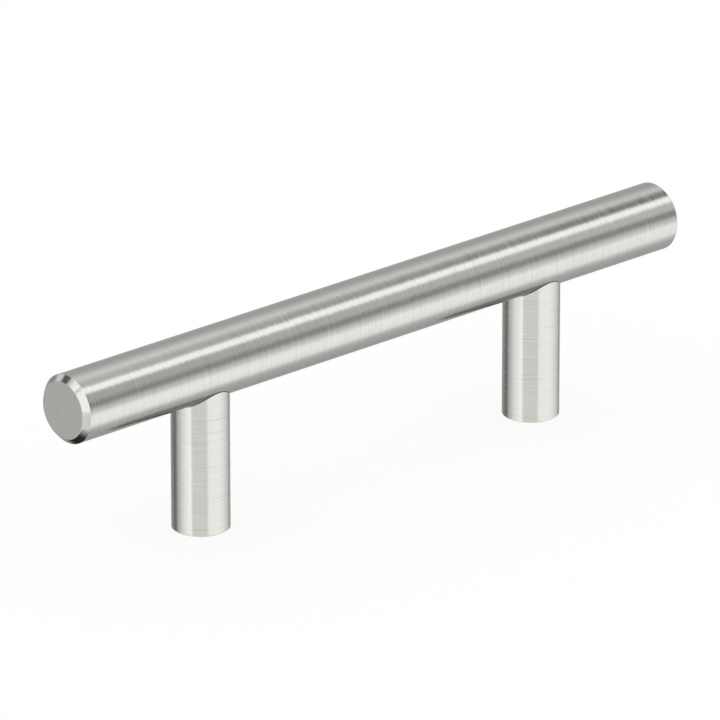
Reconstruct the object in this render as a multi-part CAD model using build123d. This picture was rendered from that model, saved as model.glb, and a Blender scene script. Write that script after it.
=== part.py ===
from build123d import *
import math
import os

# T bar cabinet pull: a round bar carried on two round posts.
# Each post is cut to a saddle that seats under the bar. A headless set screw, hidden inside,
# ties the post to the bar. The thread in the post's foot takes the screw from the door.
#
# Frame: the origin lies on the door's face, midway between the posts. +X runs along the bar
# and +Z points away from the door. All sizes are in millimetres.

# Bar
bar_length = 136.5
bar_diameter = 12.0
bar_end_chamfer = 1.0
projection = 35.0               # from the door's face to the front of the bar

# Posts
post_spacing = 76.2             # centre to centre, 3 in
post_inset = 1.0                # from the bar's side in to the post's side
foot_edge_break = 0.2           # small chamfer round the foot
saddle_edge_break = 0.1         # burr taken off the saddle's outer edge
saddle_clearance = 0.01         # between the saddle and the bar, on the radius

# Thread in the foot, 8-32 UNC, as a plain hole at the thread's largest diameter
foot_thread_diameter = 4.166
foot_countersink = 0.4          # depth of the lead-in at the foot, at 45 degrees

# Thread between post and bar, 10-32 UNF, as plain holes at the thread's largest diameter
joint_thread_diameter = 4.826
thread_runout = 0.6             # thread left beyond the end of the set screw
drill_point_angle = 118.0

# Set screws that join the posts to the bar
stud_length = 7.94              # 5/16 in
stud_depth_in_bar = 4.0
stud_clearance = 0.02           # between the set screw and its threads, on the radius
stud_end_chamfer = 0.4
socket_across_flats = 2.381     # 3/32 in key, which passes through the foot's thread
socket_depth = 2.4

# Cutting shapes run this far past the surface that they cut
cutter_overrun = 1.0

bar_radius = bar_diameter / 2
bar_axis_height = projection - bar_radius
bar_underside = projection - bar_diameter
post_radius = bar_radius - post_inset
post_places = {"left": -post_spacing / 2, "right": post_spacing / 2}
foot_thread_radius = foot_thread_diameter / 2
joint_thread_radius = joint_thread_diameter / 2

upward = (Align.CENTER, Align.CENTER, Align.MIN)
downward = (Align.CENTER, Align.CENTER, Align.MAX)


def round_along_bar(radius, length):
    """A round solid on the bar's axis, centred between the posts."""
    return Pos(0, 0, bar_axis_height) * Rot(0, 90, 0) * Cylinder(radius, length)


def drilled_hole(radius, length):
    """A hole whose wall runs down from the origin, with the cone of the drill's point on top."""
    point_height = radius / math.tan(math.radians(drill_point_angle / 2))
    return Cylinder(radius, length, align=downward) + Cone(radius, 0, point_height, align=upward)


def make_bar():
    """Solid round bar, chamfered at both ends, with a blind tapped hole over each post."""
    bar = round_along_bar(bar_radius, bar_length)
    bar = chamfer(bar.edges().filter_by(GeomType.CIRCLE), bar_end_chamfer)
    wall_length = stud_depth_in_bar + thread_runout
    for x in post_places.values():
        hole = drilled_hole(joint_thread_radius, wall_length + cutter_overrun)
        bar -= Pos(x, 0, bar_underside + wall_length) * hole
    return bar


def make_post(x):
    """Round post with a saddle on top, tapped through from the foot and wider at the saddle."""
    blank = Cylinder(post_radius, bar_axis_height, align=upward)
    foot_edge = blank.edges().filter_by(GeomType.CIRCLE).sort_by(Axis.Z)[0]
    post = chamfer(foot_edge, foot_edge_break)
    post -= round_along_bar(bar_radius + saddle_clearance, 4 * post_radius)
    saddle_edge = post.edges().group_by(Axis.Z)[-1]
    post = chamfer(saddle_edge, saddle_edge_break)

    post -= Cylinder(foot_thread_radius, bar_axis_height, align=upward)
    mouth_radius = foot_thread_radius + foot_countersink
    post -= Cone(mouth_radius, foot_thread_radius, foot_countersink, align=upward)

    # The wide thread takes the whole set screw, which a key through the foot drives up
    # into the bar once the saddle is seated.
    joint_thread_bottom = bar_underside - stud_length - thread_runout
    joint_hole = drilled_hole(joint_thread_radius, bar_axis_height - joint_thread_bottom)
    post -= Pos(0, 0, joint_thread_bottom) * Rot(180, 0, 0) * joint_hole
    return Pos(x, 0, 0) * post


def make_stud(x):
    """Headless set screw with a hex socket at its lower end, half of it in the bar."""
    stud = Cylinder(joint_thread_radius - stud_clearance, stud_length, align=downward)
    stud = chamfer(stud.edges().filter_by(GeomType.CIRCLE), stud_end_chamfer)
    hexagon = RegularPolygon(socket_across_flats / 2, 6, major_radius=False)
    stud -= Pos(0, 0, -stud_length) * extrude(hexagon, socket_depth)
    return Pos(x, 0, bar_underside + stud_depth_in_bar) * stud


os.makedirs("parts", exist_ok=True)
export_step(make_bar(), "parts/bar.step")
for side, x in post_places.items():
    export_step(make_post(x), f"parts/post_{side}.step")
    export_step(make_stud(x), f"parts/stud_{side}.step")
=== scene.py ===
import math
import bpy
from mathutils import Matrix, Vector


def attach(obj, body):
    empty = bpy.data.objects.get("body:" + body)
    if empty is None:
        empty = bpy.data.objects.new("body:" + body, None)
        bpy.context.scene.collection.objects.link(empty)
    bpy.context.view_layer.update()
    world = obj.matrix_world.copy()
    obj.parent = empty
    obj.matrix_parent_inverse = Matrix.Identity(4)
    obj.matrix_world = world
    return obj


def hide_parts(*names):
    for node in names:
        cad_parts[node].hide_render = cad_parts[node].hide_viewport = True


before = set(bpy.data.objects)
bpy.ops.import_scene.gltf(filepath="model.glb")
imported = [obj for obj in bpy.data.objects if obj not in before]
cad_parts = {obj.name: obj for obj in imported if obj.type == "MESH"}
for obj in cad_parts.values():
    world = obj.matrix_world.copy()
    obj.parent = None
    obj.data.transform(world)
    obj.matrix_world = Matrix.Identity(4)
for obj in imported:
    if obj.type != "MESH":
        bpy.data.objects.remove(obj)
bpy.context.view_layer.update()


# The view. A long lens looks down on the pull from its left end, as on a shop's picture
# of it, and the pull stands on its two feet with the bar on top.
VIEW_LENS_MM = 455.77
VIEW_AZIMUTH = math.radians(-42.464)
VIEW_ELEVATION = math.radians(21.423)
VIEW_DISTANCE = 1.54598
VIEW_TARGET = Vector((-0.00191, 0.0, 0.020379))
VIEW_NEAREST = 0.01
VIEW_FURTHEST = 100.0

view_back = Vector((
    math.sin(VIEW_AZIMUTH) * math.cos(VIEW_ELEVATION),
    -math.cos(VIEW_AZIMUTH) * math.cos(VIEW_ELEVATION),
    math.sin(VIEW_ELEVATION),
))
camera_data = bpy.data.cameras.new("camera")
camera_data.lens = VIEW_LENS_MM
camera_data.clip_start = VIEW_NEAREST
camera_data.clip_end = VIEW_FURTHEST
camera = bpy.data.objects.new("camera", camera_data)
camera.location = VIEW_TARGET + VIEW_DISTANCE * view_back
camera.rotation_mode = "QUATERNION"
camera.rotation_quaternion = (-view_back).to_track_quat("-Z", "Y")
bpy.context.scene.collection.objects.link(camera)
bpy.context.scene.camera = camera
bpy.context.scene.view_settings.view_transform = "Standard"


# The studio. The pull stands on a white table in a white room. Only polished and brushed
# metal shows the soft lamps and grey walls that hang above and stand round the table.
TABLE_HALF = 3.0
TABLE_COLOUR = "#FFFFFF"
TABLE_OWN_LIGHT = 0.85          # share of the card's white, for the camera, that no shadow dims
CARD_IN_METAL = 0.65            # the same share for metal
# Middle, half width, width of the soft edge (degrees) and brightness of each lamp or wall.
# The first list turns about the bar: 0 is the front horizon, 90 overhead, 180 the back.
WALL_ABOVE = 0.45
LAMPS_ABOVE = (
    (-37, 30, 47, 1.07),        # low front lamp
    (209, 19, 22, 0.59),        # low back lamp
    (14, 7, 15, 0.32),          # dark gap at the front
    (108, 5, 90, 1.27),         # ceiling panel
)
# The front wall is brighter to the right. The gap between strip lamp and ceiling panel
# closes to the left, where the two meet. Each has its brightness at the left and the right
# end of the stretch of X in which it changes.
FRONT_WALL = (46, 19, 12)
FRONT_WALL_BRIGHTNESS = (0.37, 0.78)
GAP_ABOVE = (90.5, 15.5, 33)
GAP_BRIGHTNESS = (0.97, 0.0)
CHANGING_STRETCH = (0.583, 0.662)
STRIP_LAMP = (65, 11, 12, 1.32)
# Each panel at the left has a brightness and soft edges: axis, outside and inside. They are
# a wall at the back, a dark flag, a small lamp, a tall soft box and the box's middle bar.
PANELS_LEFT = (
    (0.36, (("X", 0.40, 0.20), ("Y", 0.90, 0.96))),
    (0.12, (("X", -0.12, -0.28), ("X", -0.62, -0.54), ("Y", 0.43, 0.56))),
    (0.84, (("X", -0.02, -0.10), ("Y", 0.745, 0.83), ("Y", 0.99, 0.94))),
    (1.28, (("X", -0.35, -0.50), ("X", -0.94, -0.84), ("Y", 0.44, 0.10), ("Z", -0.19, -0.01))),
    (0.82, (("X", -0.65, -0.69), ("X", -0.94, -0.84), ("Y", -0.01, -0.07), ("Y", -0.19, -0.12))),
)
# The second list turns round the posts: 0 is the camera's side and 90 the camera's right.
WALL_ROUND = 0.55
LAMPS_ROUND = (
    (56, 58, 88, 1.22),         # right soft box
    (-39, 36, 90, 1.36),        # left soft box
    (172, 3, 68, 0.80),         # back lamp
    (-131, 20, 82, 0.22),       # dim back left corner
    (-117, 11, 7, 0.19),        # dark flag in front of it
    (146, 10, 17, 0.40),        # dark flag at the back right
    (-3, 31, 7, 0.87),          # wall behind the camera
)
HORIZON = (-0.14, -0.34)        # Z between which the second list takes over from the first
BELOW = 0.34                    # the table near the pull, as metal shows it
BELOW_RIGHT = 0.25              # how much brighter it is towards +X
BELOW_BACK_RIGHT = -0.45        # and how much darker at the back right
BELOW_EDGE = (-0.54, -0.75)     # Z between which this darker part of the table begins
EDGE_BACK_RIGHT = -0.26         # its edge lies further up at the back right
EDGE_LEFT = 0.35                # and further down at the left
PLUMB = (0.2, -0.35, 1.0)       # the table is almost black under the pull's back left
UNDERNEATH = (-1.04, -0.885)
UNDERNEATH_LEVEL = 0.08
# A ray's depth is 2 once it has met metal once, 3 after twice and 4 after three times.
DEPTH_IN_METAL = 2.5            # deeper rays are those of metal that is seen in metal
OWN_SHADOW = (0.31, 0.13)       # the table beside the pull, as such metal shows it
OWN_SHADOW_REACH = (-0.10, 0.45)  # Y between which it darkens, from front to back
OWN_SHADOW_EDGE = (-0.46, -0.61)
DEPTH_IN_CREVICE = 3.5          # deeper rays come from between post and bar, where they meet
CREVICE = 0.10


def linear(hex_colour):
    """An sRGB hex colour as the linear red, green, blue and alpha that a shader takes."""
    parts = [int(hex_colour[i:i + 2], 16) / 255 for i in (1, 3, 5)]
    return [p / 12.92 if p <= 0.04045 else ((p + 0.055) / 1.055) ** 2.4 for p in parts] + [1.0]


def add(tree, kind, settings=(), inputs=()):
    """Adds a node. settings are its properties. Each of its inputs, by name or number, takes
    a value or a link, from one of another node's outputs or, given the node, from its first."""
    node = tree.nodes.new(kind)
    for name, value in dict(settings).items():
        setattr(node, name, value)
    for name, value in dict(inputs).items():
        if isinstance(value, bpy.types.Node):
            value = value.outputs[0]
        if isinstance(value, bpy.types.NodeSocket):
            tree.links.new(value, node.inputs[name])
        else:
            node.inputs[name].default_value = value
    return node


world = bpy.data.worlds.new("surround")
bpy.context.scene.world = world
world.use_nodes = True
world.cycles.sampling_method = "NONE"
sky = world.node_tree
sky.nodes.clear()
direction = add(sky, "ShaderNodeTexCoord").outputs["Generated"]
toward = add(sky, "ShaderNodeSeparateXYZ", inputs={"Vector": direction}).outputs


def in_band(angle, middle, half, edge):
    """1 inside a band of degrees and 0 outside it, with soft edges."""
    off = add(sky, "ShaderNodeMath", {"operation": "SUBTRACT"}, {0: angle, 1: middle})
    wrapped = add(sky, "ShaderNodeMath", {"operation": "WRAP"}, {0: off, 1: 180.0, 2: -180.0})
    distance = add(sky, "ShaderNodeMath", {"operation": "ABSOLUTE"}, {0: wrapped})
    return add(sky, "ShaderNodeMapRange", {"interpolation_type": "SMOOTHSTEP"}, {
        "Value": distance, "From Min": half + edge / 2, "From Max": half - edge / 2})


def lamps(angle, wall, bands):
    """The brightness of a wall with soft-edged lamps and flags in front of it."""
    level = wall
    for middle, half, edge, brightness in bands:
        share = in_band(angle, middle, half, edge)
        level = add(sky, "ShaderNodeMix", inputs={"Factor": share, "A": level, "B": brightness})
    return level


def area(edges):
    """1 inside a soft-edged area of the surround and 0 outside it."""
    share = 1.0
    for axis, outside, inside in edges:
        edge = add(sky, "ShaderNodeMapRange", {"interpolation_type": "SMOOTHSTEP"}, {
            "Value": toward[axis], "From Min": outside, "From Max": inside})
        share = add(sky, "ShaderNodeMath", {"operation": "MULTIPLY"}, {0: edge, 1: share})
    return share


frontward = add(sky, "ShaderNodeMath", {"operation": "MULTIPLY"}, {0: toward["Y"], 1: -1.0})
angle_above = add(sky, "ShaderNodeMath", {"operation": "ARCTAN2"}, {0: toward["Z"], 1: frontward})
about_bar = add(sky, "ShaderNodeMath", {"operation": "DEGREES"}, {0: angle_above})
above = lamps(about_bar, WALL_ABOVE, LAMPS_ABOVE)
for band, (at_left, at_right) in ((FRONT_WALL, FRONT_WALL_BRIGHTNESS), (GAP_ABOVE, GAP_BRIGHTNESS)):
    changing = add(sky, "ShaderNodeMapRange", inputs={
        "Value": toward["X"], "From Min": CHANGING_STRETCH[0], "From Max": CHANGING_STRETCH[1],
        "To Min": at_left, "To Max": at_right})
    above = add(sky, "ShaderNodeMix", inputs={
        "Factor": in_band(about_bar, *band), "A": above, "B": changing})
above = lamps(about_bar, above, [STRIP_LAMP])
for brightness, edges in PANELS_LEFT:
    above = add(sky, "ShaderNodeMix", inputs={"Factor": area(edges), "A": above, "B": brightness})

turned = add(sky, "ShaderNodeVectorRotate", {"rotation_type": "Z_AXIS"}, {
    "Vector": direction, "Angle": math.pi / 2 - VIEW_AZIMUTH})
toward_turned = add(sky, "ShaderNodeSeparateXYZ", inputs={"Vector": turned}).outputs
angle_round = add(sky, "ShaderNodeMath", {"operation": "ARCTAN2"}, {
    0: toward_turned["Y"], 1: toward_turned["X"]})
about_posts = add(sky, "ShaderNodeMath", {"operation": "DEGREES"}, {0: angle_round})
around = lamps(about_posts, WALL_ROUND, LAMPS_ROUND)
metal_sees = add(sky, "ShaderNodeMix", inputs={
    "Factor": area([("Z", *HORIZON)]), "A": above, "B": around})

# Metal shows the table darker near the pull than further out.
rightward = add(sky, "ShaderNodeMath", {"operation": "MAXIMUM"}, {0: toward["X"], 1: 0.0})
leftward = add(sky, "ShaderNodeMath", {"operation": "SUBTRACT"}, {0: rightward, 1: toward["X"]})
back_right = add(sky, "ShaderNodeMath", {"operation": "MULTIPLY"}, {0: rightward, 1: toward["Y"]})
slope = add(sky, "ShaderNodeMath", {"operation": "MULTIPLY_ADD"}, {
    0: back_right, 1: EDGE_BACK_RIGHT, 2: toward["Z"]})
slope = add(sky, "ShaderNodeMath", {"operation": "MULTIPLY_ADD"}, {0: leftward, 1: EDGE_LEFT, 2: slope})
below_share = add(sky, "ShaderNodeMapRange", {"interpolation_type": "SMOOTHSTEP"}, {
    "Value": slope, "From Min": BELOW_EDGE[0], "From Max": BELOW_EDGE[1]})
below = add(sky, "ShaderNodeMath", {"operation": "MULTIPLY_ADD"}, {0: rightward, 1: BELOW_RIGHT, 2: BELOW})
below = add(sky, "ShaderNodeMath", {"operation": "MULTIPLY_ADD"}, {
    0: back_right, 1: BELOW_BACK_RIGHT, 2: below})
metal_sees = add(sky, "ShaderNodeMix", inputs={"Factor": below_share, "A": metal_sees, "B": below})
plumb = add(sky, "ShaderNodeVectorMath", {"operation": "DOT_PRODUCT"}, {0: direction, 1: PLUMB})
underneath = add(sky, "ShaderNodeMapRange", {"interpolation_type": "SMOOTHSTEP"}, {
    "Value": plumb.outputs["Value"], "From Min": UNDERNEATH[0], "From Max": UNDERNEATH[1],
    "To Min": UNDERNEATH_LEVEL})
metal_sees = add(sky, "ShaderNodeMath", {"operation": "MULTIPLY"}, {0: metal_sees, 1: underneath})

ray = add(sky, "ShaderNodeLightPath").outputs
in_metal = add(sky, "ShaderNodeMath", {"operation": "GREATER_THAN"}, {
    0: ray["Ray Depth"], 1: DEPTH_IN_METAL})
in_shadow = add(sky, "ShaderNodeMath", {"operation": "MULTIPLY"}, {
    0: in_metal, 1: area([("Z", *OWN_SHADOW_EDGE)])})
own_shadow = add(sky, "ShaderNodeMapRange", inputs={
    "Value": toward["Y"], "From Min": OWN_SHADOW_REACH[0], "From Max": OWN_SHADOW_REACH[1],
    "To Min": OWN_SHADOW[0], "To Max": OWN_SHADOW[1]})
metal_sees = add(sky, "ShaderNodeMix", inputs={"Factor": in_shadow, "A": metal_sees, "B": own_shadow})
in_crevice = add(sky, "ShaderNodeMath", {"operation": "GREATER_THAN"}, {
    0: ray["Ray Depth"], 1: DEPTH_IN_CREVICE})
metal_sees = add(sky, "ShaderNodeMix", inputs={"Factor": in_crevice, "A": metal_sees, "B": CREVICE})
level = add(sky, "ShaderNodeMix", inputs={"Factor": ray["Is Glossy Ray"], "A": 1.0, "B": metal_sees})
surround = add(sky, "ShaderNodeBackground", inputs={"Color": linear("#FFFFFF"), "Strength": level})
add(sky, "ShaderNodeOutputWorld", inputs={"Surface": surround})

table_mesh = bpy.data.meshes.new("table")
table_mesh.from_pydata(
    [(-TABLE_HALF, -TABLE_HALF, 0), (TABLE_HALF, -TABLE_HALF, 0),
     (TABLE_HALF, TABLE_HALF, 0), (-TABLE_HALF, TABLE_HALF, 0)], [], [(0, 1, 2, 3)])
table = bpy.data.objects.new("table", table_mesh)
bpy.context.scene.collection.objects.link(table)
table.visible_glossy = False
# Matt white card. It keeps the pull's soft shadow, thinned for the camera by its own light.
table_material = bpy.data.materials.new("white_card")
table_material.use_nodes = True
card = table_material.node_tree
card.nodes.clear()
card_white = add(card, "ShaderNodeBsdfDiffuse", inputs={"Color": linear(TABLE_COLOUR)})
card_light = add(card, "ShaderNodeEmission", inputs={"Color": linear(TABLE_COLOUR), "Strength": 1.0})
card_ray = add(card, "ShaderNodeLightPath").outputs
card_seen = add(card, "ShaderNodeMath", {"operation": "MULTIPLY"}, {
    0: card_ray["Is Camera Ray"], 1: TABLE_OWN_LIGHT})
card_share = add(card, "ShaderNodeMath", {"operation": "MULTIPLY_ADD"}, {
    0: card_ray["Is Glossy Ray"], 1: CARD_IN_METAL, 2: card_seen})
card_mix = add(card, "ShaderNodeMixShader", inputs={0: card_share, 1: card_white, 2: card_light})
add(card, "ShaderNodeOutputMaterial", inputs={"Surface": card_mix})
table_mesh.materials.append(table_material)


# The bar is 12 mm steel rod, nickel plated and brushed while it turns, so that fine rings
# run round it. Both ends are chamfered and rubbed flat on a belt, and two blind holes in
# the underside, hidden by the posts, take the set screws.
BAR_LENGTH = 0.1365
BAR_RADIUS = 0.006
BAR_CHAMFER = 0.001
BAR_AXIS_HEIGHT = 0.029
BAR_SEGMENTS = 192
POST_SPACING = 0.0762
SEAT_REACH = 0.0052             # rings on the bar just past each post hold its shape there
JOINT_THREAD_RADIUS = 0.002413
JOINT_HOLE_WALL = 0.0046
JOINT_HOLE_SEGMENTS = 64
DRILL_OVERRUN = 0.001           # how far the drill's solid reaches below the bar
DRILL_POINT_ANGLE = math.radians(118.0)
EDGE_ROLL = 0.00008
ROLL_STEPS = 3
MERGE_DISTANCE = 0.000001
SHARP_ANGLE = math.radians(24.0)
CHAMFER_FACING = 0.1            # a face whose normal's X is beyond this was turned, not brushed
END_FACING = 0.98               # and beyond this it is the flat end's
NICKEL_DARK = "#C8C9C3"
NICKEL_PALE = "#E0E1DB"
NICKEL_SCRATCH = "#9C9D96"
BAR_LINES_SHOW = 0.50           # how plainly the brushed lines show
END_LINES_SHOW = 0.20
LINE_CONTRAST = 1.25            # swing from dark to pale nickel of lines that show fully
LINE_SPREAD = 0.5               # anisotropy: highlights are wider across the lines than along
LINE_NOISE_ROUGHNESS = 0.6
LINE_NOISE_RANGE = (0.3, 0.7)   # the noise seldom leaves it
RING_WIDTH = 0.00016            # real rings are nearer 0.05 mm, too fine to show here
RING_LENGTH = 0.009
RING_LEAN = 0.017               # radians, which most lines stay under
RING_HEIGHT = 0.0000016
RING_ROUGHNESS = (0.120, 0.220)
SCRATCH_LENGTH = 0.007
SCRATCH_LEVEL = (0.71, 0.84)    # only the noise's peaks become deeper scratches
SCRATCH_DEPTH = 0.70            # as a share of how plainly the lines show
PLATE_ROUGHNESS = 0.32
CHAMFER_ROUGHNESS = 0.13        # a turning tool leaves the chamfers brighter
PLATE_ROUGHNESS_SPREAD = 0.04
PLATE_GRAIN = 0.0003            # coarser than a real plate's, which doesn't show at this size
PLATE_GRAIN_HEIGHT = 0.000002
PLATE_GRAIN_STRENGTH = 0.5


def rolled(corners, roll, steps):
    """Corner points (x, y, rolled or not) as an outline. A rolled corner becomes a small arc
    with a point either side of it, which keeps the faces next to it flat when shaded."""
    outline = []
    for i, (x, y, is_rolled) in enumerate(corners):
        here = Vector((x, y))
        if not is_rolled:
            outline.append(here)
            continue
        before = (Vector(corners[i - 1][:2]) - here).normalized()
        after = (Vector(corners[(i + 1) % len(corners)][:2]) - here).normalized()
        half_turn = (math.pi - before.angle(after)) / 2
        set_back = roll * math.tan(half_turn)
        centre = here + (before + after).normalized() * (roll / math.cos(half_turn))
        start = here + before * set_back - centre
        side = math.copysign(1.0, before.cross(after))
        outline.append(here + before * (set_back + roll))
        for step in range(steps + 1):
            turn = -side * 2 * half_turn * step / steps
            c, s = math.cos(turn), math.sin(turn)
            outline.append(centre + Vector((c * start.x - s * start.y, s * start.x + c * start.y)))
        outline.append(here + after * (set_back + roll))
    return outline


def new_tree(name, sockets):
    """An empty Geometry Nodes tree with named inputs, its input values and its end socket."""
    tree = bpy.data.node_groups.new(name, "GeometryNodeTree")
    tree.interface.new_socket("Geometry", in_out="OUTPUT", socket_type="NodeSocketGeometry")
    tree.interface.new_socket("Geometry", in_out="INPUT", socket_type="NodeSocketGeometry")
    for socket_name, kind in sockets.items():
        tree.interface.new_socket(socket_name, in_out="INPUT", socket_type="NodeSocket" + kind)
    return tree, add(tree, "NodeGroupInput").outputs, add(tree, "NodeGroupOutput").inputs[0]


def turned_solid(tree, given):
    """Turns the given outline (distance from the axis, height) round Z and closes its poles."""
    inward = add(tree, "ShaderNodeMath", {"operation": "MULTIPLY"}, {0: given["Radius"], 1: -1.0})
    shift = add(tree, "ShaderNodeCombineXYZ", inputs={"X": inward})
    placed = add(tree, "GeometryNodeTransform", inputs={
        "Geometry": given["Geometry"], "Translation": shift, "Rotation": (math.pi, 0, 0)})
    outline = add(tree, "GeometryNodeMeshToCurve", inputs={"Mesh": placed})
    circle = add(tree, "GeometryNodeCurvePrimitiveCircle", inputs={
        "Resolution": given["Segments"], "Radius": given["Radius"]})
    solid = add(tree, "GeometryNodeCurveToMesh", inputs={"Curve": circle, "Profile Curve": outline})
    joined = add(tree, "GeometryNodeMergeByDistance", inputs={"Geometry": solid, "Distance": MERGE_DISTANCE})
    return add(tree, "GeometryNodeFlipFaces", inputs={"Mesh": joined})


def finished(tree, geometry, end, material, faces=True):
    """Shades the geometry round with sharp folds, gives it its last material, on all faces or
    on those that are marked, and ends the tree."""
    smooth = add(tree, "GeometryNodeSetShadeSmooth", inputs={"Geometry": geometry, "Shade Smooth": True})
    fold = add(tree, "GeometryNodeInputMeshEdgeAngle").outputs["Unsigned Angle"]
    is_sharp = add(tree, "FunctionNodeCompare", {"operation": "GREATER_THAN"}, {"A": fold, "B": SHARP_ANGLE})
    edged = add(tree, "GeometryNodeSetShadeSmooth", {"domain": "EDGE"}, {
        "Geometry": smooth, "Selection": is_sharp, "Shade Smooth": False})
    whole = add(tree, "GeometryNodeRealizeInstances", inputs={"Geometry": edged})
    coated = add(tree, "GeometryNodeSetMaterial", inputs={
        "Geometry": whole, "Selection": faces, "Material": material})
    tree.links.new(coated.outputs[0], end)


def made_by(tree, name, outline, closed, values):
    """Runs a tree on an outline and gives the result as a plain mesh object."""
    count = len(outline)
    edges = [(i, (i + 1) % count) for i in range(count if closed else count - 1)]
    mesh = bpy.data.meshes.new(name + "_outline")
    mesh.from_pydata([(p.x, p.y, 0.0) for p in outline], edges, [])
    start = bpy.data.objects.new(name + "_outline", mesh)
    bpy.context.scene.collection.objects.link(start)
    modifier = start.modifiers.new(tree.name, "NODES")
    modifier.node_group = tree
    for item in tree.interface.items_tree:
        if item.in_out == "INPUT" and item.name in values:
            modifier[item.identifier] = values[item.name]
    evaluated = start.evaluated_get(bpy.context.evaluated_depsgraph_get())
    piece = bpy.data.objects.new(name, bpy.data.meshes.new_from_object(evaluated))
    bpy.context.scene.collection.objects.link(piece)
    bpy.data.objects.remove(start)
    return piece


def brushed_nickel(name, axis, show, ring_width):
    """Satin nickel plate over steel: a pale, slightly yellow white metal, brushed in fine lines
    that lie across the given axis. Each line leans a little and is a little rougher or finer,
    which frays every reflection's edge, and the highlights spread out along the axis. show is
    how plainly the lines show."""
    material = bpy.data.materials.new(name)
    material.use_nodes = True
    tree = material.node_tree
    shader = tree.nodes["Principled BSDF"]
    shader.inputs["Metallic"].default_value = 1.0
    shader.inputs["Anisotropic"].default_value = LINE_SPREAD
    place = add(tree, "ShaderNodeTexCoord").outputs["Object"]
    direction = add(tree, "ShaderNodeCombineXYZ", inputs=dict(zip("XYZ", map(float, axis))))
    tree.links.new(direction.outputs[0], shader.inputs["Tangent"])

    def lines(length, detail, offset):
        """Noise drawn out into lines, from 0 to 1 with its middle at 0.5. An offset of its own
        keeps each pattern apart from the others."""
        scale = [1 / ring_width if a else 1 / length for a in axis]
        stretched = add(tree, "ShaderNodeMapping", inputs={
            "Vector": place, "Location": (offset,) * 3, "Scale": scale})
        noise = add(tree, "ShaderNodeTexNoise", inputs={
            "Vector": stretched, "Scale": 1.0, "Detail": detail, "Roughness": LINE_NOISE_ROUGHNESS})
        return noise.outputs["Fac"]

    fine = lines(RING_LENGTH, detail=2.0, offset=0.0)
    lean = lines(RING_LENGTH, detail=1.0, offset=17.0)
    scratch = lines(SCRATCH_LENGTH, detail=0.0, offset=41.0)

    swing = LINE_CONTRAST * show
    shade = add(tree, "ShaderNodeMapRange", inputs={
        "Value": fine, "To Min": 0.5 - swing, "To Max": 0.5 + swing})
    nickel = add(tree, "ShaderNodeMix", {"data_type": "RGBA"}, {
        "Factor": shade, 6: linear(NICKEL_DARK), 7: linear(NICKEL_PALE)})
    deep = add(tree, "ShaderNodeMapRange", {"interpolation_type": "SMOOTHSTEP"}, {
        "Value": scratch, "From Min": SCRATCH_LEVEL[0], "From Max": SCRATCH_LEVEL[1],
        "To Max": SCRATCH_DEPTH * show})
    worn = add(tree, "ShaderNodeMix", {"data_type": "RGBA"}, {
        "Factor": deep, 6: nickel.outputs[2], 7: linear(NICKEL_SCRATCH)})
    tree.links.new(worn.outputs[2], shader.inputs["Base Color"])

    rough = add(tree, "ShaderNodeMapRange", inputs={
        "Value": fine, "From Min": LINE_NOISE_RANGE[0], "From Max": LINE_NOISE_RANGE[1],
        "To Min": RING_ROUGHNESS[0], "To Max": RING_ROUGHNESS[1]})
    tree.links.new(rough.outputs[0], shader.inputs["Roughness"])

    facing = add(tree, "ShaderNodeNewGeometry").outputs["Normal"]
    along_line = add(tree, "ShaderNodeVectorMath", {"operation": "CROSS_PRODUCT"}, {0: direction, 1: facing})
    amount = add(tree, "ShaderNodeMapRange", {"clamp": False}, {
        "Value": lean, "To Min": -2 * RING_LEAN, "To Max": 2 * RING_LEAN})
    leaning = add(tree, "ShaderNodeVectorMath", {"operation": "SCALE"}, {0: along_line, "Scale": amount})
    leant = add(tree, "ShaderNodeVectorMath", {"operation": "ADD"}, {0: facing, 1: leaning})
    unit = add(tree, "ShaderNodeVectorMath", {"operation": "NORMALIZE"}, {0: leant})
    bump = add(tree, "ShaderNodeBump", inputs={
        "Strength": 1.0, "Distance": RING_HEIGHT, "Height": fine, "Normal": unit})
    tree.links.new(bump.outputs[0], shader.inputs["Normal"])
    return material


def plated_steel(name, roughness):
    """Nickel plate where no brush reaches, on turned edges, on threads and inside holes: the
    same pale metal with an even, slightly grainy satin."""
    material = bpy.data.materials.new(name)
    material.use_nodes = True
    tree = material.node_tree
    shader = tree.nodes["Principled BSDF"]
    shader.inputs["Metallic"].default_value = 1.0
    place = add(tree, "ShaderNodeTexCoord").outputs["Object"]
    grain = add(tree, "ShaderNodeTexNoise", inputs={
        "Vector": place, "Scale": 1 / PLATE_GRAIN, "Detail": 3.0})
    colour = add(tree, "ShaderNodeMix", {"data_type": "RGBA"}, {
        "Factor": grain, 6: linear(NICKEL_DARK), 7: linear(NICKEL_PALE)})
    tree.links.new(colour.outputs[2], shader.inputs["Base Color"])
    rough = add(tree, "ShaderNodeMapRange", inputs={
        "Value": grain, "To Min": roughness - PLATE_ROUGHNESS_SPREAD,
        "To Max": roughness + PLATE_ROUGHNESS_SPREAD})
    tree.links.new(rough.outputs[0], shader.inputs["Roughness"])
    bump = add(tree, "ShaderNodeBump", inputs={
        "Strength": PLATE_GRAIN_STRENGTH, "Distance": PLATE_GRAIN_HEIGHT, "Height": grain})
    tree.links.new(bump.outputs[0], shader.inputs["Normal"])
    return material


bar_nickel = brushed_nickel("ring_brushed_nickel_bar", (1, 0, 0), BAR_LINES_SHOW, RING_WIDTH)
end_nickel = brushed_nickel("straight_brushed_nickel_ends", (0, 1, 0), END_LINES_SHOW, RING_WIDTH)
bath_nickel = plated_steel("plain_nickel_plate", PLATE_ROUGHNESS)
turned_nickel = plated_steel("turned_nickel_chamfer", CHAMFER_ROUGHNESS)

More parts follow.
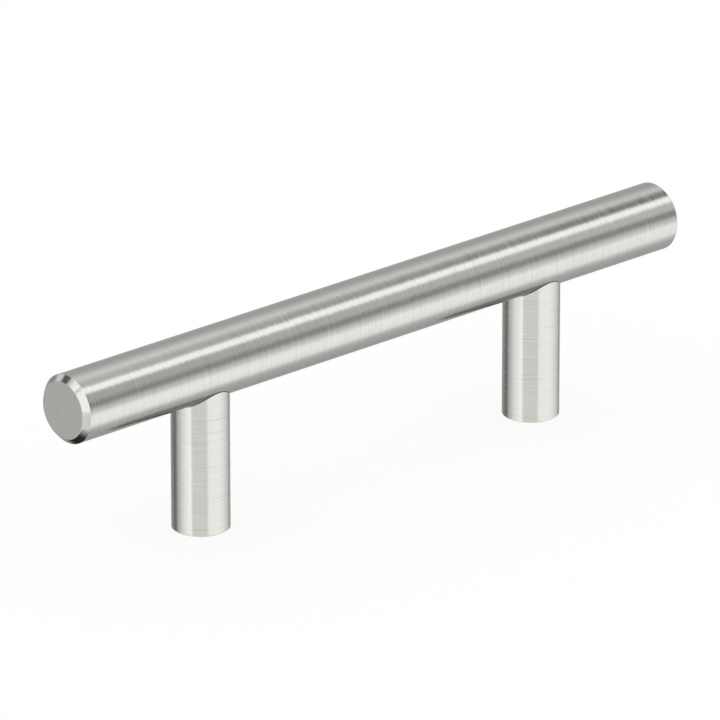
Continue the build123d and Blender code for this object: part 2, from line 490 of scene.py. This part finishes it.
# The drill that makes a blind hole, as a solid to take away from the bar.
drill_tree, given, end = new_tree("drill", {"Radius": "Float", "Segments": "Int"})
drill_tree.links.new(turned_solid(drill_tree, given).outputs[0], end)
drill_point = JOINT_THREAD_RADIUS / math.tan(DRILL_POINT_ANGLE / 2)
hole_top = BAR_AXIS_HEIGHT - BAR_RADIUS + JOINT_HOLE_WALL
drill_start = BAR_AXIS_HEIGHT - BAR_RADIUS - DRILL_OVERRUN
drill = made_by(drill_tree, "drill", [
    Vector((0.0, drill_start)),
    Vector((JOINT_THREAD_RADIUS, drill_start)),
    Vector((JOINT_THREAD_RADIUS, hole_top)),
    Vector((0.0, hole_top + drill_point)),
], False, {"Radius": JOINT_THREAD_RADIUS, "Segments": JOINT_HOLE_SEGMENTS})

# The bar's tree turns the rod, lays it along X and drills a hole over each post.
bar_tree, given, end = new_tree("bar", {
    "Radius": "Float", "Segments": "Int", "Axis Height": "Float", "Drill": "Object", "Hole Spacing": "Float",
    "Brushed Rings": "Material", "Brushed Flat": "Material", "Turned": "Material", "Plain Plate": "Material"})
height = add(bar_tree, "ShaderNodeCombineXYZ", inputs={"Z": given["Axis Height"]})
rod = add(bar_tree, "GeometryNodeTransform", inputs={
    "Geometry": turned_solid(bar_tree, given), "Translation": height, "Rotation": (0, math.pi / 2, 0)})
normal = add(bar_tree, "GeometryNodeInputNormal")
facing = add(bar_tree, "ShaderNodeSeparateXYZ", inputs={"Vector": normal}).outputs
toward_end = add(bar_tree, "ShaderNodeMath", {"operation": "ABSOLUTE"}, {0: facing["X"]})
is_chamfer = add(bar_tree, "ShaderNodeMath", {"operation": "GREATER_THAN"}, {
    0: toward_end, 1: CHAMFER_FACING})
is_end = add(bar_tree, "ShaderNodeMath", {"operation": "GREATER_THAN"}, {0: toward_end, 1: END_FACING})
brushed = add(bar_tree, "GeometryNodeSetMaterial", inputs={
    "Geometry": rod, "Material": given["Brushed Rings"]})
brushed = add(bar_tree, "GeometryNodeSetMaterial", inputs={
    "Geometry": brushed, "Selection": is_chamfer, "Material": given["Turned"]})
first_hole = add(bar_tree, "ShaderNodeMath", {"operation": "MULTIPLY"}, {0: given["Hole Spacing"], 1: -0.5})
first_place = add(bar_tree, "ShaderNodeCombineXYZ", inputs={"X": first_hole})
step = add(bar_tree, "ShaderNodeCombineXYZ", inputs={"X": given["Hole Spacing"]})
places = add(bar_tree, "GeometryNodeMeshLine", {"mode": "OFFSET"}, {
    "Count": 2, "Start Location": first_place, "Offset": step})
drill_shape = add(bar_tree, "GeometryNodeObjectInfo", {"transform_space": "ORIGINAL"}, {
    "Object": given["Drill"]})
drills = add(bar_tree, "GeometryNodeInstanceOnPoints", inputs={
    "Points": places, "Instance": drill_shape.outputs["Geometry"]})
holes = add(bar_tree, "GeometryNodeRealizeInstances", inputs={"Geometry": drills})
plated_holes = add(bar_tree, "GeometryNodeSetMaterial", inputs={
    "Geometry": holes, "Material": given["Plain Plate"]})
drilled = add(bar_tree, "GeometryNodeMeshBoolean", {"operation": "DIFFERENCE", "solver": "EXACT"}, {
    "Mesh 1": brushed, "Mesh 2": plated_holes})
finished(bar_tree, drilled, end, given["Brushed Flat"], is_end)

bar_half = BAR_LENGTH / 2
bar_corners = [(0.0, -bar_half, False), (BAR_RADIUS - BAR_CHAMFER, -bar_half, True),
               (BAR_RADIUS, -bar_half + BAR_CHAMFER, True)]
for post_side in (-1, 1):
    for reach in (-SEAT_REACH, SEAT_REACH):
        bar_corners.append((BAR_RADIUS, post_side * POST_SPACING / 2 + reach, False))
bar_corners += [(BAR_RADIUS, bar_half - BAR_CHAMFER, True), (BAR_RADIUS - BAR_CHAMFER, bar_half, True),
                (0.0, bar_half, False)]
bar = made_by(bar_tree, "round_bar", rolled(bar_corners, EDGE_ROLL, ROLL_STEPS), False, {
    "Radius": BAR_RADIUS, "Segments": BAR_SEGMENTS, "Axis Height": BAR_AXIS_HEIGHT, "Drill": drill,
    "Hole Spacing": POST_SPACING, "Brushed Rings": bar_nickel, "Brushed Flat": end_nickel,
    "Turned": turned_nickel, "Plain Plate": bath_nickel})
bpy.data.objects.remove(drill)
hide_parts("bar")
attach(bar, "root")


# The posts are 10 mm steel rod, plated and brushed like the bar. A milled saddle on top of
# each seats on the bar, its edge just broken, and the foot is tapped for the door's screw.
POST_RADIUS = 0.005
POST_SEGMENTS = 144
POST_LINES_SHOW = 0.42
POST_RING_WIDTH = 0.00022
FOOT_EDGE_BREAK = 0.0002
FOOT_EDGE_ROLL = FOOT_EDGE_BREAK / 4
FOOT_ROLL_STEPS = 2
SADDLE_EDGE_BREAK = 0.0001
SADDLE_CLEARANCE = 0.00001
SADDLE_RINGS = 14
SADDLE_START = 0.016            # above this height the post is stretched up to the saddle
FOOT_THREAD_RADIUS = 0.002083
FOOT_COUNTERSINK = 0.0004
FOOT_THREAD_DEPTH = 0.00035
THREAD_PITCH = 0.000794         # 32 threads to the inch
THREAD_FLANK = (0.0625, 0.4375)  # shares of the pitch between which each flank rises
THREAD_WALL_TOLERANCE = 0.00002  # points this near to the thread's radius are on its wall
ROWS_PER_PITCH = 10
JOINT_THREAD_BOTTOM = 0.01446   # where the set screw's wide thread ends in the post


def threaded(tree, geometry, given):
    """Pulls the wall at the thread's radius inward along a right-handed helix. The thread
    fades out at both ends of its stretch, as a cut thread runs out."""
    position = add(tree, "GeometryNodeInputPosition")
    point = add(tree, "ShaderNodeSeparateXYZ", inputs={"Vector": position}).outputs
    flat = add(tree, "ShaderNodeCombineXYZ", inputs={"X": point["X"], "Y": point["Y"]})
    radius = add(tree, "ShaderNodeVectorMath", {"operation": "LENGTH"}, {0: flat}).outputs["Value"]
    angle = add(tree, "ShaderNodeMath", {"operation": "ARCTAN2"}, {0: point["Y"], 1: point["X"]})
    turns = add(tree, "ShaderNodeMath", {"operation": "DIVIDE"}, {0: angle, 1: 2 * math.pi})
    climb = add(tree, "ShaderNodeMath", {"operation": "DIVIDE"}, {0: point["Z"], 1: given["Thread Pitch"]})
    phase = add(tree, "ShaderNodeMath", {"operation": "SUBTRACT"}, {0: climb, 1: turns})
    wave = add(tree, "ShaderNodeMath", {"operation": "PINGPONG"}, {0: phase, 1: 0.5})
    flank = add(tree, "ShaderNodeMapRange", inputs={
        "Value": wave, "From Min": THREAD_FLANK[0], "From Max": THREAD_FLANK[1]})
    share = flank
    for end_name, sign in (("Thread Start", 1.0), ("Thread End", -1.0)):
        past_end = add(tree, "ShaderNodeMath", {"operation": "SUBTRACT"}, {0: point["Z"], 1: given[end_name]})
        inside = add(tree, "ShaderNodeMath", {"operation": "MULTIPLY"}, {0: past_end, 1: sign})
        run_out = add(tree, "ShaderNodeMapRange", inputs={"Value": inside, "From Max": given["Thread Pitch"]})
        share = add(tree, "ShaderNodeMath", {"operation": "MULTIPLY"}, {0: share, 1: run_out})
    depth = add(tree, "ShaderNodeMath", {"operation": "MULTIPLY"}, {0: share, 1: given["Thread Depth"]})
    inward = add(tree, "ShaderNodeMath", {"operation": "MULTIPLY"}, {0: depth, 1: -1.0})
    scale = add(tree, "ShaderNodeMath", {"operation": "DIVIDE"}, {0: inward, 1: radius})
    offset = add(tree, "ShaderNodeVectorMath", {"operation": "SCALE"}, {0: flat, "Scale": scale})
    is_wall = add(tree, "FunctionNodeCompare", {"operation": "EQUAL"}, {
        "A": radius, "B": given["Thread Radius"], "Epsilon": THREAD_WALL_TOLERANCE})
    return add(tree, "GeometryNodeSetPosition", inputs={
        "Geometry": geometry, "Selection": is_wall, "Offset": offset})


post_nickel = brushed_nickel("ring_brushed_nickel_posts", (0, 0, 1), POST_LINES_SHOW, POST_RING_WIDTH)

# The post's tree turns the tapped blank, cuts the thread, forms the saddle and places it.
THREAD_INPUTS = {"Thread Radius": "Float", "Thread Pitch": "Float", "Thread Depth": "Float",
                 "Thread Start": "Float", "Thread End": "Float"}
post_tree, given, end = new_tree("post", {
    "Radius": "Float", "Segments": "Int", **THREAD_INPUTS, "Bar Radius": "Float", "Bar Height": "Float",
    "Saddle Start": "Float", "Place": "Float", "Brushed Rings": "Material", "Plain Plate": "Material"})
tapped = threaded(post_tree, turned_solid(post_tree, given), given)
# A point at the top rises by what the bar's round underside rises there, and a point further
# down by less, in step with its height above the saddle's start.
position = add(post_tree, "GeometryNodeInputPosition")
point = add(post_tree, "ShaderNodeSeparateXYZ", inputs={"Vector": position}).outputs
sine = add(post_tree, "ShaderNodeMath", {"operation": "DIVIDE"}, {0: point["Y"], 1: given["Bar Radius"]})
slope_angle = add(post_tree, "ShaderNodeMath", {"operation": "ARCSINE"}, {0: sine})
cosine = add(post_tree, "ShaderNodeMath", {"operation": "COSINE"}, {0: slope_angle})
drop = add(post_tree, "ShaderNodeMath", {"operation": "SUBTRACT"}, {0: 1.0, 1: cosine})
rise = add(post_tree, "ShaderNodeMath", {"operation": "MULTIPLY"}, {0: drop, 1: given["Bar Radius"]})
underside = add(post_tree, "ShaderNodeMath", {"operation": "SUBTRACT"}, {
    0: given["Bar Height"], 1: given["Bar Radius"]})
portion = add(post_tree, "ShaderNodeMapRange", inputs={
    "Value": point["Z"], "From Min": given["Saddle Start"], "From Max": underside})
lift = add(post_tree, "ShaderNodeMath", {"operation": "MULTIPLY"}, {0: rise, 1: portion})
lifted = add(post_tree, "ShaderNodeCombineXYZ", inputs={"Z": lift})
saddled = add(post_tree, "GeometryNodeSetPosition", inputs={"Geometry": tapped, "Offset": lifted})
stand = add(post_tree, "ShaderNodeCombineXYZ", inputs={"X": given["Place"]})
stood = add(post_tree, "GeometryNodeTransform", inputs={"Geometry": saddled, "Translation": stand})
brushed = add(post_tree, "GeometryNodeSetMaterial", inputs={
    "Geometry": stood, "Material": given["Brushed Rings"]})
# Faces that don't look away from the post's axis, in its holes, on the saddle and under the
# foot, were never brushed, so they keep the plain plate.
from_axis = add(post_tree, "ShaderNodeVectorMath", {"operation": "SUBTRACT"}, {0: position, 1: stand})
level_part = add(post_tree, "ShaderNodeVectorMath", {"operation": "MULTIPLY"}, {0: from_axis, 1: (1, 1, 0)})
normal = add(post_tree, "GeometryNodeInputNormal")
away = add(post_tree, "ShaderNodeVectorMath", {"operation": "DOT_PRODUCT"}, {0: normal, 1: level_part})
half_radius = add(post_tree, "ShaderNodeMath", {"operation": "MULTIPLY"}, {0: given["Radius"], 1: 0.5})
is_plain = add(post_tree, "ShaderNodeMath", {"operation": "LESS_THAN"}, {
    0: away.outputs["Value"], 1: half_radius})
finished(post_tree, brushed, end, given["Plain Plate"], is_plain)

seat = BAR_AXIS_HEIGHT - BAR_RADIUS - SADDLE_CLEARANCE
step_height = (JOINT_THREAD_RADIUS - FOOT_THREAD_RADIUS) / math.tan(DRILL_POINT_ANGLE / 2)
foot_thread_top = JOINT_THREAD_BOTTOM - step_height
rows = round((foot_thread_top - FOOT_COUNTERSINK) / THREAD_PITCH * ROWS_PER_PITCH)
post_corners = [
    (FOOT_THREAD_RADIUS + FOOT_COUNTERSINK, 0.0, False),
    (POST_RADIUS - FOOT_EDGE_BREAK, 0.0, True),
    (POST_RADIUS, FOOT_EDGE_BREAK, True),
    (POST_RADIUS, SADDLE_START, False),
    (POST_RADIUS, seat - SADDLE_EDGE_BREAK, False),
]
saddle_outer = POST_RADIUS - SADDLE_EDGE_BREAK
for ring in range(SADDLE_RINGS + 1):
    across = ring / SADDLE_RINGS * (JOINT_THREAD_RADIUS - saddle_outer)
    post_corners.append((saddle_outer + across, seat, False))
post_corners.append((JOINT_THREAD_RADIUS, JOINT_THREAD_BOTTOM, False))
for row in range(rows + 1):
    down = row / rows * (FOOT_COUNTERSINK - foot_thread_top)
    post_corners.append((FOOT_THREAD_RADIUS, foot_thread_top + down, False))
post_outline = rolled(post_corners, FOOT_EDGE_ROLL, FOOT_ROLL_STEPS)
for side, place_x in (("left", -POST_SPACING / 2), ("right", POST_SPACING / 2)):
    post = made_by(post_tree, "saddle_post_" + side, post_outline, True, {
        "Radius": POST_RADIUS, "Segments": POST_SEGMENTS, "Thread Radius": FOOT_THREAD_RADIUS,
        "Thread Pitch": THREAD_PITCH, "Thread Depth": FOOT_THREAD_DEPTH, "Thread Start": FOOT_COUNTERSINK,
        "Thread End": foot_thread_top, "Bar Radius": BAR_RADIUS + SADDLE_CLEARANCE,
        "Bar Height": BAR_AXIS_HEIGHT, "Saddle Start": SADDLE_START, "Place": place_x,
        "Brushed Rings": post_nickel, "Plain Plate": bath_nickel})
    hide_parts("post_" + side)
    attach(post, "root")

# Part of the studio and not of the pull: the table's white card right under each foot, no
# wider than the foot. Only metal sees it, in the broken edge round the foot.
card_points = []
card_faces = []
for place_x in (-POST_SPACING / 2, POST_SPACING / 2):
    card_faces.append(range(len(card_points), len(card_points) + POST_SEGMENTS))
    for i in range(POST_SEGMENTS):
        turn = 2 * math.pi * i / POST_SEGMENTS
        card_points.append((place_x + POST_RADIUS * math.cos(turn), POST_RADIUS * math.sin(turn), 0.0))
foot_card_mesh = bpy.data.meshes.new("card_under_feet")
foot_card_mesh.from_pydata(card_points, [], card_faces)
foot_card_mesh.materials.append(table_material)
foot_card = bpy.data.objects.new("card_under_feet", foot_card_mesh)
bpy.context.scene.collection.objects.link(foot_card)
foot_card.visible_camera = False
foot_card.visible_diffuse = False
foot_card.visible_shadow = False


# The set screws are plain steel, threaded from end to end, with a hex socket below. Each
# one sits half in the post and half in the bar and draws the two together.
STUD_LENGTH = 0.00794
STUD_TOP = 0.027
STUD_RADIUS = 0.002393
STUD_END_CHAMFER = 0.0004
STUD_THREAD_DEPTH = 0.00042
STUD_SEGMENTS = 72
SOCKET_SIDES = 6
SOCKET_ACROSS_FLATS = 0.002381
SOCKET_DEPTH = 0.0024
STEEL_DARK = "#A9AAAC"
STEEL_PALE = "#BCBDBF"
STEEL_ROUGHNESS = (0.30, 0.42)
OIL_PATCH = 0.0012

# Plain steel with a trace of oil: greyer and duller than the plate, in soft uneven patches.
steel = bpy.data.materials.new("plain_screw_steel")
steel.use_nodes = True
steel_tree = steel.node_tree
steel_shader = steel_tree.nodes["Principled BSDF"]
steel_shader.inputs["Metallic"].default_value = 1.0
steel_place = add(steel_tree, "ShaderNodeTexCoord").outputs["Object"]
oil = add(steel_tree, "ShaderNodeTexNoise", inputs={
    "Vector": steel_place, "Scale": 1 / OIL_PATCH, "Detail": 3.0})
steel_colour = add(steel_tree, "ShaderNodeMix", {"data_type": "RGBA"}, {
    "Factor": oil, 6: linear(STEEL_DARK), 7: linear(STEEL_PALE)})
steel_tree.links.new(steel_colour.outputs[2], steel_shader.inputs["Base Color"])
steel_rough = add(steel_tree, "ShaderNodeMapRange", inputs={
    "Value": oil, "To Min": STEEL_ROUGHNESS[0], "To Max": STEEL_ROUGHNESS[1]})
steel_tree.links.new(steel_rough.outputs[0], steel_shader.inputs["Roughness"])

# The set screw's tree turns and threads the screw, cuts its socket and places it.
stud_tree, given, end = new_tree("stud", {
    "Radius": "Float", "Segments": "Int", **THREAD_INPUTS, "Socket Radius": "Float", "Socket Depth": "Float",
    "Bottom": "Float", "Place": "Float", "Steel": "Material"})
screw = threaded(stud_tree, turned_solid(stud_tree, given), given)
# The key's middle lies at the screw's lower end, so it is twice as long as the socket is deep.
key_length = add(stud_tree, "ShaderNodeMath", {"operation": "MULTIPLY"}, {0: given["Socket Depth"], 1: 2.0})
key = add(stud_tree, "GeometryNodeMeshCylinder", inputs={
    "Vertices": SOCKET_SIDES, "Radius": given["Socket Radius"], "Depth": key_length})
low = add(stud_tree, "ShaderNodeCombineXYZ", inputs={"Z": given["Bottom"]})
key_placed = add(stud_tree, "GeometryNodeTransform", inputs={"Geometry": key, "Translation": low})
steel_screw = add(stud_tree, "GeometryNodeSetMaterial", inputs={
    "Geometry": screw, "Material": given["Steel"]})
steel_key = add(stud_tree, "GeometryNodeSetMaterial", inputs={
    "Geometry": key_placed, "Material": given["Steel"]})
socketed = add(stud_tree, "GeometryNodeMeshBoolean", {"operation": "DIFFERENCE", "solver": "EXACT"}, {
    "Mesh 1": steel_screw, "Mesh 2": steel_key})
stand = add(stud_tree, "ShaderNodeCombineXYZ", inputs={"X": given["Place"]})
stood = add(stud_tree, "GeometryNodeTransform", inputs={"Geometry": socketed, "Translation": stand})
finished(stud_tree, stood, end, given["Steel"])

socket_radius = SOCKET_ACROSS_FLATS / 2 / math.cos(math.pi / SOCKET_SIDES)
stud_bottom = STUD_TOP - STUD_LENGTH
thread_length = STUD_LENGTH - 2 * STUD_END_CHAMFER
stud_rows = round(thread_length / THREAD_PITCH * ROWS_PER_PITCH)
stud_outline = [Vector((0.0, stud_bottom)), Vector((STUD_RADIUS - STUD_END_CHAMFER, stud_bottom))]
for row in range(stud_rows + 1):
    up = STUD_END_CHAMFER + row / stud_rows * thread_length
    stud_outline.append(Vector((STUD_RADIUS, stud_bottom + up)))
stud_outline += [Vector((STUD_RADIUS - STUD_END_CHAMFER, STUD_TOP)), Vector((0.0, STUD_TOP))]
for side, place_x in (("left", -POST_SPACING / 2), ("right", POST_SPACING / 2)):
    stud = made_by(stud_tree, "set_screw_" + side, stud_outline, False, {
        "Radius": STUD_RADIUS, "Segments": STUD_SEGMENTS, "Thread Radius": STUD_RADIUS,
        "Thread Pitch": THREAD_PITCH, "Thread Depth": STUD_THREAD_DEPTH,
        "Thread Start": stud_bottom + STUD_END_CHAMFER, "Thread End": STUD_TOP - STUD_END_CHAMFER,
        "Socket Radius": socket_radius, "Socket Depth": SOCKET_DEPTH, "Bottom": stud_bottom,
        "Place": place_x, "Steel": steel})
    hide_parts("stud_" + side)
    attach(stud, "root")
